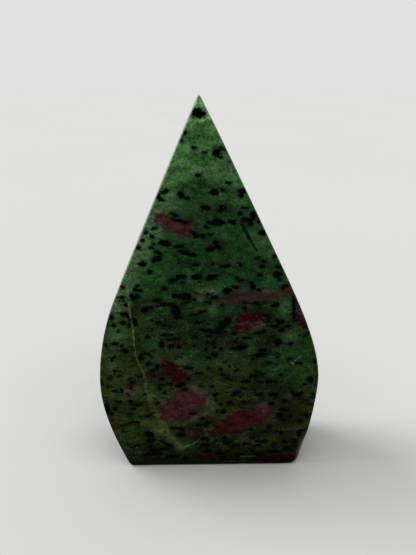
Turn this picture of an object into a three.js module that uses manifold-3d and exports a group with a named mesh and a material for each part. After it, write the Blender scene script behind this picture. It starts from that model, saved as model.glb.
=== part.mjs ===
// Ruby in zoisite: a block of rock sawn to a slab, ground to a flame outline and polished all over,
// standing on a flat base. Millimetres, +Z up, front face towards -Y, origin in the middle of the base.

import * as THREE from 'three';
import { mergeVertices } from 'three/addons/utils/BufferGeometryUtils.js';
import Module from 'manifold-3d';

const wasm = await Module();
wasm.setup();

// Driving dimensions
const HEIGHT = 110;
const WIDTH = 64.8;
const THICKNESS = 26;
const EDGE_ROUND = 0.9;
const FOOT_ROUND_EXTRA = 1.4;

// Outline of the face, seen from the front, as x and z
const HALF_WIDTH = WIDTH / 2;
const APEX = new THREE.Vector2(-2.7, HEIGHT);
const FLANKS_MEET = new THREE.Vector2(-2.7, HEIGHT + 1.1);
const RIGHT_SHOULDER = new THREE.Vector2(20.6, 63.5);
const RIGHT_WIDEST = new THREE.Vector2(HALF_WIDTH, 29);
const RIGHT_FOOT = new THREE.Vector2(26.9, 0);
const LEFT_SHOULDER = new THREE.Vector2(-27.2, 54);
const LEFT_WIDEST = new THREE.Vector2(-HALF_WIDTH, 28);
const LEFT_FOOT = new THREE.Vector2(-24.5, 0);

// How far from where they would meet the straight flanks begin to turn in to the blunter point
const TIP_TURN = 7.5;
const FLANK_PULL = 18;

// How far each belly curve keeps the direction of its ends
const RIGHT_SHOULDER_PULL = 12.2;
const RIGHT_BELLY_PULL = 10;
const RIGHT_WAIST_PULL = 8;
const RIGHT_FOOT_PULL = 2.8;
const RIGHT_FOOT_LEAN = 0.43;
const LEFT_SHOULDER_PULL = 6;
const LEFT_BELLY_PULL = 10;
const LEFT_WAIST_PULL = 7.5;
const LEFT_FOOT_PULL = 12;
const LEFT_FOOT_LEAN = 0.46;

// The base's two corners, broken with a small curve
const LEFT_FOOT_CUT = 1.1;
const RIGHT_FOOT_CUT = 2.2;

// The rounding of the face's edge widens just above the right foot
const WIDE_ROUND_CENTRE = new THREE.Vector2(28.6, 5);
const WIDE_ROUND_REACH = 8.5;

// Fineness of the faceted solid
const OUTLINE_STEP = 2.6;
const FOOT_CUT_STEP = 0.7;
const ROUND_SEGMENTS = 5;

// A natural fissure and three small pits that the polish left open in the front face
const FISSURES = [
  { x: 9.6, z: 74.6, length: 5.6, width: 0.7, depth: 0.35, lean: 62 },
  { x: 11.7, z: 70.9, length: 5.2, width: 0.6, depth: 0.3, lean: 59 },
];
const PITS = [
  { x: -22.3, z: 7.0, length: 1.0, width: 0.8, depth: 0.3, lean: 20 },
  { x: 26.3, z: 36.2, length: 2.2, width: 0.5, depth: 0.25, lean: -50 },
  { x: 24.9, z: 35.6, length: 1.3, width: 0.5, depth: 0.2, lean: 35 },
];

const FRONT = -THICKNESS / 2;

// A point that far along a flank, in the flank's own direction
function along(from, direction, distance) {
  return from.clone().addScaledVector(direction, distance);
}

// The outline as curves, anticlockwise as seen from the front, from the left end of the base
function outlineCurves() {
  const down = new THREE.Vector2(0, -1);
  const up = new THREE.Vector2(0, 1);
  const rightFlankDown = RIGHT_SHOULDER.clone().sub(FLANKS_MEET).normalize();
  const leftFlankDown = LEFT_SHOULDER.clone().sub(FLANKS_MEET).normalize();
  const rightFootUp = new THREE.Vector2(RIGHT_FOOT_LEAN, 1).normalize();
  const leftFootUp = new THREE.Vector2(-LEFT_FOOT_LEAN, 1).normalize();
  const rightCornerEnd = along(RIGHT_FOOT, rightFootUp, RIGHT_FOOT_CUT);
  const leftCornerStart = along(LEFT_FOOT, leftFootUp, LEFT_FOOT_CUT);
  const baseLeft = new THREE.Vector2(LEFT_FOOT.x + LEFT_FOOT_CUT, 0);
  const baseRight = new THREE.Vector2(RIGHT_FOOT.x - RIGHT_FOOT_CUT, 0);
  return [
    new THREE.LineCurve(baseLeft, baseRight),
    new THREE.QuadraticBezierCurve(baseRight, RIGHT_FOOT, rightCornerEnd),
    new THREE.CubicBezierCurve(
      rightCornerEnd,
      along(rightCornerEnd, rightFootUp, RIGHT_FOOT_PULL),
      along(RIGHT_WIDEST, down, RIGHT_WAIST_PULL),
      RIGHT_WIDEST,
    ),
    new THREE.CubicBezierCurve(
      RIGHT_WIDEST,
      along(RIGHT_WIDEST, up, RIGHT_BELLY_PULL),
      along(RIGHT_SHOULDER, rightFlankDown, RIGHT_SHOULDER_PULL),
      RIGHT_SHOULDER,
    ),
    new THREE.CubicBezierCurve(
      RIGHT_SHOULDER,
      along(RIGHT_SHOULDER, rightFlankDown, -FLANK_PULL),
      along(FLANKS_MEET, rightFlankDown, TIP_TURN),
      APEX,
    ),
    new THREE.CubicBezierCurve(
      APEX,
      along(FLANKS_MEET, leftFlankDown, TIP_TURN),
      along(LEFT_SHOULDER, leftFlankDown, -FLANK_PULL),
      LEFT_SHOULDER,
    ),
    new THREE.CubicBezierCurve(
      LEFT_SHOULDER,
      along(LEFT_SHOULDER, leftFlankDown, LEFT_SHOULDER_PULL),
      along(LEFT_WIDEST, up, LEFT_BELLY_PULL),
      LEFT_WIDEST,
    ),
    new THREE.CubicBezierCurve(
      LEFT_WIDEST,
      along(LEFT_WIDEST, down, LEFT_WAIST_PULL),
      along(leftCornerStart, leftFootUp, LEFT_FOOT_PULL),
      leftCornerStart,
    ),
    new THREE.QuadraticBezierCurve(leftCornerStart, LEFT_FOOT, baseLeft),
  ];
}

// The outline as evenly stepped points, each point once
function outlinePoints() {
  const points = [];
  for (const curve of outlineCurves()) {
    const step = curve instanceof THREE.QuadraticBezierCurve ? FOOT_CUT_STEP : OUTLINE_STEP;
    const pieces = Math.max(2, Math.round(curve.getLength() / step));
    points.push(...curve.getSpacedPoints(pieces).slice(0, -1));
  }
  return points;
}

// The way inwards at each outline point, long enough at a corner that both edges move in by one unit
function inwardMitres(points) {
  const count = points.length;
  const inwardOf = (from, to) => new THREE.Vector2(from.y - to.y, to.x - from.x).normalize();
  return points.map((point, index) => {
    const before = inwardOf(points[(index + count - 1) % count], point);
    const after = inwardOf(point, points[(index + 1) % count]);
    const middle = before.clone().add(after).normalize();
    return middle.divideScalar(middle.dot(after));
  });
}

// The radius of the polished edge at an outline point
function edgeRound(point) {
  const nearness = Math.max(0, 1 - point.distanceTo(WIDE_ROUND_CENTRE) / WIDE_ROUND_REACH);
  return EDGE_ROUND + FOOT_ROUND_EXTRA * nearness * nearness * (3 - 2 * nearness);
}

// The polished slab: rings of the outline from the back face round its edge, across the side
// and round to the front face, with the two faces closed flat
function slabGeometry() {
  const points = outlinePoints();
  const mitres = inwardMitres(points);
  const count = points.length;
  const half = THICKNESS / 2;
  const positions = [];

  function addRing(side, angle) {
    points.forEach((point, index) => {
      const round = edgeRound(point);
      const place = along(point, mitres[index], round * (1 - Math.cos(angle)));
      const depth = side * (half - round * (1 - Math.sin(angle)));
      positions.push(place.x, depth, place.y);
    });
  }
  for (let step = ROUND_SEGMENTS; step >= 0; step -= 1) {
    addRing(1, (step / ROUND_SEGMENTS) * (Math.PI / 2));
  }
  for (let step = 0; step <= ROUND_SEGMENTS; step += 1) {
    addRing(-1, (step / ROUND_SEGMENTS) * (Math.PI / 2));
  }

  const rings = 2 * (ROUND_SEGMENTS + 1);
  const triangles = [];
  for (let ring = 0; ring < rings - 1; ring += 1) {
    for (let index = 0; index < count; index += 1) {
      const next = (index + 1) % count;
      const behind = ring * count;
      const ahead = behind + count;
      triangles.push(behind + index, ahead + next, ahead + index);
      triangles.push(behind + index, behind + next, ahead + next);
    }
  }

  const lastRing = (rings - 1) * count;
  const faceOutline = (first) => points.map((_, index) => {
    const at = 3 * (first + index);
    return new THREE.Vector2(positions[at], positions[at + 2]);
  });
  for (const [a, b, c] of THREE.ShapeUtils.triangulateShape(faceOutline(lastRing), [])) {
    triangles.push(lastRing + a, lastRing + b, lastRing + c);
  }
  for (const [a, b, c] of THREE.ShapeUtils.triangulateShape(faceOutline(0), [])) {
    triangles.push(a, c, b);
  }

  const geometry = new THREE.BufferGeometry();
  geometry.setAttribute('position', new THREE.Float32BufferAttribute(positions, 3));
  geometry.setIndex(triangles);
  return geometry;
}

// A tapering hollow in the front face: its lean is measured down from the horizontal, to the right
function hollowGeometry({ x, z, length, width, depth, lean }) {
  const geometry = new THREE.OctahedronGeometry(1, 1);
  geometry.scale(length / 2, depth, width / 2);
  geometry.rotateY(THREE.MathUtils.degToRad(lean));
  geometry.translate(x, FRONT, z);
  return geometry;
}

// Closed geometry as a solid that can be cut
function solidOf(geometry) {
  const bare = geometry.clone();
  bare.deleteAttribute('normal');
  bare.deleteAttribute('uv');
  const merged = mergeVertices(bare, 1e-4);
  return new wasm.Manifold(new wasm.Mesh({
    numProp: 3,
    vertProperties: new Float32Array(merged.attributes.position.array),
    triVerts: new Uint32Array(merged.index.array),
  }));
}

// A solid back as geometry with flat faces
function geometryOf(solid) {
  const mesh = solid.getMesh();
  const geometry = new THREE.BufferGeometry();
  geometry.setAttribute('position', new THREE.BufferAttribute(mesh.vertProperties, 3));
  geometry.setIndex(new THREE.BufferAttribute(mesh.triVerts, 1));
  geometry.computeVertexNormals();
  return geometry;
}

function polishedStone() {
  let solid = solidOf(slabGeometry());
  for (const hollow of [...FISSURES, ...PITS]) {
    solid = solid.subtract(solidOf(hollowGeometry(hollow)));
  }
  const zoisite = new THREE.MeshStandardMaterial({ color: 0x2f5a33, roughness: 0.22, metalness: 0 });
  const mesh = new THREE.Mesh(geometryOf(solid), zoisite);
  mesh.name = 'polished_stone';
  return mesh;
}

const rubyInZoisite = new THREE.Group();
rubyInZoisite.add(polishedStone());

export default rubyInZoisite;
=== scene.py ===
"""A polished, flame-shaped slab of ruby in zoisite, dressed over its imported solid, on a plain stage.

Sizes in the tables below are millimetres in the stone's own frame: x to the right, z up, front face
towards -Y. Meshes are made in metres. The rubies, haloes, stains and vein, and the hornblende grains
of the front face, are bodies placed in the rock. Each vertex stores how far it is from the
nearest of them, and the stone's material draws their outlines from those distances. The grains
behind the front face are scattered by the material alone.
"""

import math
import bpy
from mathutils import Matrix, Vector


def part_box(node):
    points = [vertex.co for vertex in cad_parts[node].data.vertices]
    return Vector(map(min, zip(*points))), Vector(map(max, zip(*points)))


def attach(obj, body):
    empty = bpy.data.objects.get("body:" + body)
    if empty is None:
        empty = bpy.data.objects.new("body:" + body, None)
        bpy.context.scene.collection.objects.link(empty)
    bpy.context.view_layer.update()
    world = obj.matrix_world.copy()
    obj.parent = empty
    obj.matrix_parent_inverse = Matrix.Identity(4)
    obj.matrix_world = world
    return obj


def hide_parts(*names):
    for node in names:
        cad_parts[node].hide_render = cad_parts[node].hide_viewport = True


bl_info = {
    "name": "Ruby in Zoisite Slab",
    "version": (1, 0, 0),
    "blender": (4, 5, 0),
    "location": "3D View > Sidebar > Stone",
    "description": "Makes a polished free-standing slab of ruby in zoisite on a plain studio stage",
    "category": "Object",
}

from collections import namedtuple

import bpy
import numpy as np

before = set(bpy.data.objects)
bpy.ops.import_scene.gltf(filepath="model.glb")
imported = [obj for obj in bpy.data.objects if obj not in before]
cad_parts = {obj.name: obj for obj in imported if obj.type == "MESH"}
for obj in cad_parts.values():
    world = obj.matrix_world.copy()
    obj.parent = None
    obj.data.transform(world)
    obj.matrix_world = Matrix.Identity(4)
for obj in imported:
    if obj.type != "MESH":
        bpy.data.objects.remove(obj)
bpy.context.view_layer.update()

NODE = "polished_stone"
MM = 0.001
LOW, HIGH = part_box(NODE)
FRONT = LOW.y / MM
BACK = HIGH.y / MM
TOP = HIGH.z / MM

# Outline of the front face, as x and z
HALF_WIDTH = HIGH.x / MM
APEX = (-2.7, TOP)
FLANKS_MEET = (-2.7, TOP + 1.1)
RIGHT_SHOULDER = (20.6, 63.5)
RIGHT_WIDEST = (HALF_WIDTH, 29.0)
RIGHT_FOOT = (26.9, 0.0)
LEFT_SHOULDER = (-27.2, 54.0)
LEFT_WIDEST = (-HALF_WIDTH, 28.0)
LEFT_FOOT = (-24.5, 0.0)
RIGHT_PULLS = {"foot": 2.8, "waist": 8.0, "belly": 10.0, "shoulder": 12.2}
LEFT_PULLS = {"foot": 12.0, "waist": 7.5, "belly": 10.0, "shoulder": 6.0}
RIGHT_FOOT_LEAN = 0.43
LEFT_FOOT_LEAN = -0.46
RIGHT_FOOT_CUT = 2.2
LEFT_FOOT_CUT = 1.1
APEX_CUT = 0.6
TIP_TURN = 7.5
FLANK_PULL = 18.0

# The polished edge widens just above the right foot and fines down at the point
WIDE_ROUND_CENTRE = (28.6, 5.0)
WIDE_ROUND_REACH = 8.5
FOOT_ROUND_EXTRA = 1.4
POINT_ROUND = 0.08
POINT_ROUND_GROWTH = 0.2

# The strip inside the front face's edge, where the mesh becomes twice as fine
STRIP = 0.35
POINT_STRIP = 0.02
POINT_STRIP_GROWTH = 0.08

# Fineness of the mesh, and how much closer its points are near the foot and near the point
COLUMNS = 84
ROWS = 180
ROUND_SEGMENTS = 6
SIDE_SEGMENTS = 30
CURVE_SAMPLES = 600
FOOT_CLOSENESS = 2.2
POINT_CLOSENESS = 3.0
CLOSENESS_REACH = 1.6
LEAST_HALF_WIDTH = 0.5

# How far the polish wanders from true flat, over what length, and how deep below a face this reaches
WANDER = 0.05
WANDER_SIZE = 34.0
WANDER_WAVES = 14
WANDER_SEED = 41
FACE_SKIN = 0.4

# The finish: how the rock reflects, how glossy its sides are beside the rounded edges, and fine relief
STONE_IOR = 1.6
FACE_SHINE = 0.06
SIDE_COAT = 0.16
COAT_ROUGHNESS = 0.1
COAT_IOR = 1.5
RELIEF_STRENGTH = 0.12
RELIEF_HEIGHT = 0.03 * MM

# The floor, a hair below the base, and where each light stands in metres and how wide it looks
FLOOR_REACH = 40.0
FLOOR_DROP = 0.02 * MM
KEY_PLACE = (-1.0, 0.35, 0.9)
KEY_SPREAD = math.radians(40.0)
FILL_PLACE = (0.3, -0.8, 0.9)
FILL_SPREAD = math.radians(70.0)

# The photograph's height and its camera's focal length in pixels, and how that camera stood to the stone
PHOTO_HEIGHT = 555
FOCAL_PIXELS = 600.0
SENSOR_WIDTH = 36.0
CLIP_START = 10.0 * MM
CAMERA_SIDESTEP = -3.8 * MM
CAMERA_YAW = math.radians(1.2)

# Bodies in the rock: centre x and z, half length, half height, tilt up to the right in degrees,
# then centre y and half depth
Body = namedtuple("Body", "x z length height tilt y depth")


def cut_by(face, rows, depth_share=0.9):
    """Bodies that a face cuts through the middle, from x, z, half length, half height and any tilt."""
    bodies = []
    for x, z, length, height, *tilt in rows:
        lean = tilt[0] if tilt else 0.0
        bodies.append(Body(x, z, length, height, lean, face, depth_share * max(length, height)))
    return bodies


ROSE_RUBIES = cut_by(FRONT, (
    (-12.8, 77.5, 2.2, 1.6, -20), (-10.2, 76.0, 2.8, 1.6, -26), (-7.6, 74.8, 2.6, 1.7, -20),
    (-5.3, 74.9, 1.2, 1.1), (-5.0, 77.2, 0.8, 0.6, -20), (4.2, 54.0, 0.8, 0.5, 20),
    (8.8, 57.8, 0.8, 0.5, 20), (6.8, 54.6, 1.8, 0.7, 4), (9.8, 55.0, 2.0, 0.65, 4),
    (12.8, 55.2, 2.0, 0.85, 2), (16.2, 55.3, 2.4, 0.85), (19.3, 55.8, 2.0, 0.95, 10),
    (21.8, 56.9, 2.1, 1.2, 30), (23.4, 58.0, 1.0, 0.9, 40), (-12.6, 19.7, 3.3, 2.2, 10),
    (-8.2, 21.4, 4.4, 3.1, 15), (-4.2, 22.6, 3.4, 2.4, 15), (-10.8, 17.6, 3.4, 1.6, 10),
    (-7.2, 18.2, 2.6, 1.6), (-7.4, 24.8, 2.4, 1.2, 10), (16.5, 18.1, 2.6, 2.4, 20),
)) + cut_by(BACK, (
    (-15.5, 63.0, 4.6, 1.9, 22), (-11.5, 65.2, 2.4, 1.2, 35), (9.5, 79.0, 3.0, 1.2, -24),
    (17.5, 41.5, 6.2, 2.8, 14), (12.5, 38.5, 3.4, 1.8, 6), (-20.5, 30.5, 5.2, 2.6, -16),
    (1.5, 21.5, 6.8, 3.4, 10), (7.2, 24.4, 3.2, 2.0, 25), (-13.5, 8.5, 6.0, 2.2, -8),
    (21.5, 14.0, 3.4, 2.2, 20), (-3.4, 93.0, 1.5, 0.8, 10),
)) + [
    Body(-30.6, 24.0, 3.0, 2.2, 0, -4.0, 3.6),
    Body(-21.6, 66.0, 2.2, 2.4, 60, 4.5, 2.6),
    Body(31.6, 33.0, 3.0, 2.0, 0, 3.0, 4.4),
    Body(9.2, 86.0, 1.8, 2.6, -60, 2.0, 3.4),
    Body(17.8, 69.0, 1.4, 2.2, -50, -3.0, 2.0),
]

MADDER_RUBIES = cut_by(FRONT, (
    (4.2, 13.2, 3.2, 2.5, 15), (8.8, 15.2, 4.8, 3.7, 14), (12.8, 16.6, 3.8, 3.0, 14),
    (2.4, 11.4, 2.4, 0.9, 5), (7.0, 11.9, 3.8, 1.2, 8), (-5.0, 11.7, 1.7, 0.9), (5.8, 5.2, 1.3, 0.9, 30),
    (-1.6, 3.4, 2.0, 0.7), (-28.8, 13.6, 0.8, 0.5),
)) + cut_by(BACK, (
    (-14.0, 60.0, 4.0, 1.8, 12), (17.0, 20.5, 4.4, 2.2, -14), (-7.0, 37.0, 2.6, 1.3, 24),
))

CRIMSON_RUBIES = cut_by(FRONT, (
    (11.6, 48.6, 4.5, 2.3, 6), (9.6, 46.4, 2.8, 1.3, 8), (9.6, 44.7, 1.6, 0.8),
    (14.0, 45.8, 1.2, 0.6, 20), (-12.6, 34.3, 2.0, 1.6, -30), (-10.6, 32.3, 3.4, 2.4, -40),
    (-9.0, 30.7, 2.4, 2.2, -40), (-9.8, 29.4, 1.6, 1.5), (-23.5, 27.5, 1.2, 0.8, -10),
    (-23.0, 26.3, 0.8, 0.9), (-23.9, 25.2, 0.9, 0.8), (-23.5, 24.4, 0.9, 0.6), (21.6, 2.3, 3.8, 1.6, 4),
    (17.0, 2.2, 2.6, 1.1),
)) + [
    Body(25.7, 52.2, 1.1, 2.8, 12, FRONT, 5.0),
    Body(26.6, 48.7, 1.9, 2.4, 12, FRONT, 6.0),
    Body(27.4, 47.3, 2.4, 1.4, 0, FRONT, 6.0),
] + cut_by(BACK, (
    (-5.0, 47.5, 3.4, 2.2, -12), (-7.6, 45.4, 1.8, 1.4, 20), (-24.5, 50.0, 1.8, 1.2, 30),
    (14.0, 58.5, 2.2, 1.4, 8), (6.5, 5.5, 3.2, 1.4, 4),
)) + [
    Body(-27.9, 50.0, 1.8, 2.8, 60, -3.0, 2.6),
    Body(-28.2, 9.0, 2.4, 1.8, 0, 5.0, 3.4),
    Body(28.2, 12.5, 2.0, 1.6, 0, 7.5, 3.0),
    Body(-12.5, 87.0, 1.2, 1.8, 55, 0.0, 1.9),
]

PALE_HALOES = cut_by(FRONT, (
    (-2.6, 54.9, 1.1, 0.6, 10), (0.8, 57.4, 0.9, 0.55), (9.2, 57.6, 1.4, 0.8, 10), (3.9, 53.5, 0.7, 0.4),
    (13.2, 46.3, 1.1, 0.45, 20), (9.2, 45.0, 0.6, 0.4), (10.2, 47.7, 1.0, 0.35, 10),
    (8.9, 48.9, 0.6, 0.3), (-14.2, 35.4, 0.9, 1.4, -30), (-23.8, 26.0, 2.1, 2.5), (-21.4, 26.6, 0.8, 0.9),
    (-0.6, 22.0, 1.1, 2.0, -10), (0.9, 20.4, 1.2, 2.6, -8), (-2.4, 24.9, 1.8, 1.0, 30),
    (-4.5, 26.6, 1.3, 1.5), (-1.2, 18.3, 1.5, 0.9, 20), (-4.3, 16.8, 1.6, 1.0, 30),
    (16.4, 20.6, 2.4, 0.9, 20), (-18.6, 70.1, 1.6, 0.5, -10), (-8.6, 14.4, 1.6, 0.5, 12),
    (14.6, 8.0, 1.6, 0.35), (11.0, 8.9, 1.8, 0.5), (15.6, 56.9, 2.6, 0.5, 4), (25.0, 50.6, 0.5, 3.2, 12),
    (-16.4, 53.2, 1.0, 0.4, 10), (-23.0, 50.9, 0.4, 1.0, 20),
)) + cut_by(BACK, (
    (-19.5, 61.5, 1.6, 1.2), (11.0, 42.0, 1.6, 1.8, 20), (8.8, 21.0, 1.8, 2.4),
    (-25.0, 33.0, 1.8, 1.0, -30), (-2.0, 49.5, 1.6, 0.8, 10), (-7.5, 10.4, 2.0, 0.8),
))

BROWN_ZONES = cut_by(FRONT, (
    (24.5, 17.5, 5.0, 4.5, 10), (24.0, 9.0, 3.6, 3.4), (-16.2, 31.4, 2.6, 2.4), (-26.0, 14.6, 4.2, 1.3),
    (-18.8, 20.8, 1.6, 2.4, 20), (16.0, 27.0, 3.6, 1.0, 10), (-1.6, 3.2, 2.6, 1.2), (6.2, 4.8, 1.6, 1.2),
    (-4.6, 11.6, 2.0, 1.2), (-23.5, 21.8, 4.5, 0.9, 4), (12.0, 21.6, 5.0, 1.6, 6),
    (-25.0, 7.8, 1.4, 1.6, -35), (28.6, 22.0, 1.6, 2.0), (-24.6, 55.0, 0.6, 0.6),
)) + cut_by(BACK, (
    (-22.0, 16.0, 5.5, 3.0, 10), (6.0, 33.0, 4.4, 1.8, -10), (-1.0, 71.0, 3.4, 1.6, 10),
    (22.0, 26.0, 4.0, 2.4), (-12.0, 55.5, 3.2, 1.4, -12),
)) + [
    Body(-31.0, 18.0, 3.0, 2.4, 0, 3.0, 4.0),
    Body(31.0, 20.0, 3.0, 3.4, 0, -2.0, 5.0),
]

MINT_PATCHES = cut_by(FRONT, (
    (1.4, 88.6, 1.6, 0.8, 10), (5.2, 90.6, 1.6, 2.8, -30), (-6.2, 89.8, 2.2, 0.9),
    (10.9, 73.3, 1.6, 0.9, 20), (12.6, 70.2, 0.9, 1.8, 25), (-10.2, 81.2, 3.4, 1.0, -10),
    (-8.4, 82.4, 1.6, 0.7), (0.9, 51.7, 1.6, 1.8), (-0.6, 57.2, 5.0, 1.5, 3), (21.4, 52.2, 1.8, 2.6),
    (-26.4, 43.4, 2.4, 1.8), (-23.9, 60.0, 1.2, 2.0), (-26.2, 54.4, 0.9, 2.8, -20),
    (-8.4, 36.0, 2.2, 1.2), (3.0, 34.7, 1.6, 0.6), (-2.6, 107.8, 0.9, 1.6), (14.6, 71.4, 1.8, 1.6),
    (-19.8, 67.2, 1.6, 1.0), (17.0, 68.4, 1.4, 1.6), (-16.0, 74.4, 3.2, 2.2), (-19.6, 69.4, 1.8, 1.6),
    (-14.6, 79.4, 2.0, 2.0, -30), (-12.0, 84.4, 3.4, 2.4), (-17.6, 76.0, 1.6, 1.6),
    (-9.0, 73.4, 1.6, 0.7, -20), (23.4, 43.2, 1.8, 1.2), (-28.2, 34.4, 1.6, 2.0), (-17.6, 24.4, 1.8, 1.2),
    (-8.0, 6.8, 2.0, 1.2, 20), (-15.4, 12.4, 2.0, 1.4, -20),
)) + cut_by(BACK, (
    (-5.0, 84.0, 3.0, 1.2, 10), (4.0, 66.0, 3.4, 1.4, -10), (-17.5, 40.0, 2.4, 2.6),
    (24.0, 48.0, 1.8, 2.6), (10.0, 12.0, 3.2, 1.2), (-5.5, 30.0, 2.6, 1.6, 20), (-1.0, 100.0, 1.0, 2.4),
))

CLEAR_PATCHES = cut_by(FRONT, (
    (26.5, 38.0, 4.6, 6.0, 10), (20.0, 33.0, 6.0, 4.6), (24.6, 28.0, 4.0, 3.0), (-24.0, 11.2, 2.6, 0.8),
    (-5.6, 6.0, 2.0, 1.0, 20), (-4.0, 37.0, 3.0, 1.2), (-17.0, 58.5, 4.0, 3.4), (-9.0, 65.5, 5.0, 2.0),
    (7.0, 67.5, 5.0, 2.4),
)) + cut_by(BACK, (
    (-12.0, 72.0, 5.0, 3.0), (12.0, 52.0, 4.0, 3.4), (-22.0, 44.0, 3.6, 4.0), (15.0, 30.0, 5.0, 2.4),
    (-8.0, 16.0, 4.0, 1.8),
))

GLOOMY_ZONES = cut_by(FRONT, (
    (-20.0, 51.5, 6.0, 2.6), (-8.0, 46.6, 7.0, 2.6, -6), (1.0, 43.0, 6.0, 2.2), (18.0, 38.0, 3.6, 1.6),
    (19.0, 46.4, 3.0, 1.4), (-24.0, 37.6, 3.0, 2.6), (-15.0, 29.5, 4.0, 1.6), (20.0, 26.0, 6.0, 2.2),
    (-26.0, 20.6, 3.0, 1.4), (-17.0, 6.6, 4.0, 3.6), (-3.0, 12.0, 5.0, 1.8), (19.0, 86.0, 5.0, 4.0),
    (13.0, 78.0, 4.0, 1.4), (-3.0, 64.5, 6.0, 1.0), (-4.0, 56.0, 6.0, 1.4),
))

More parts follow.
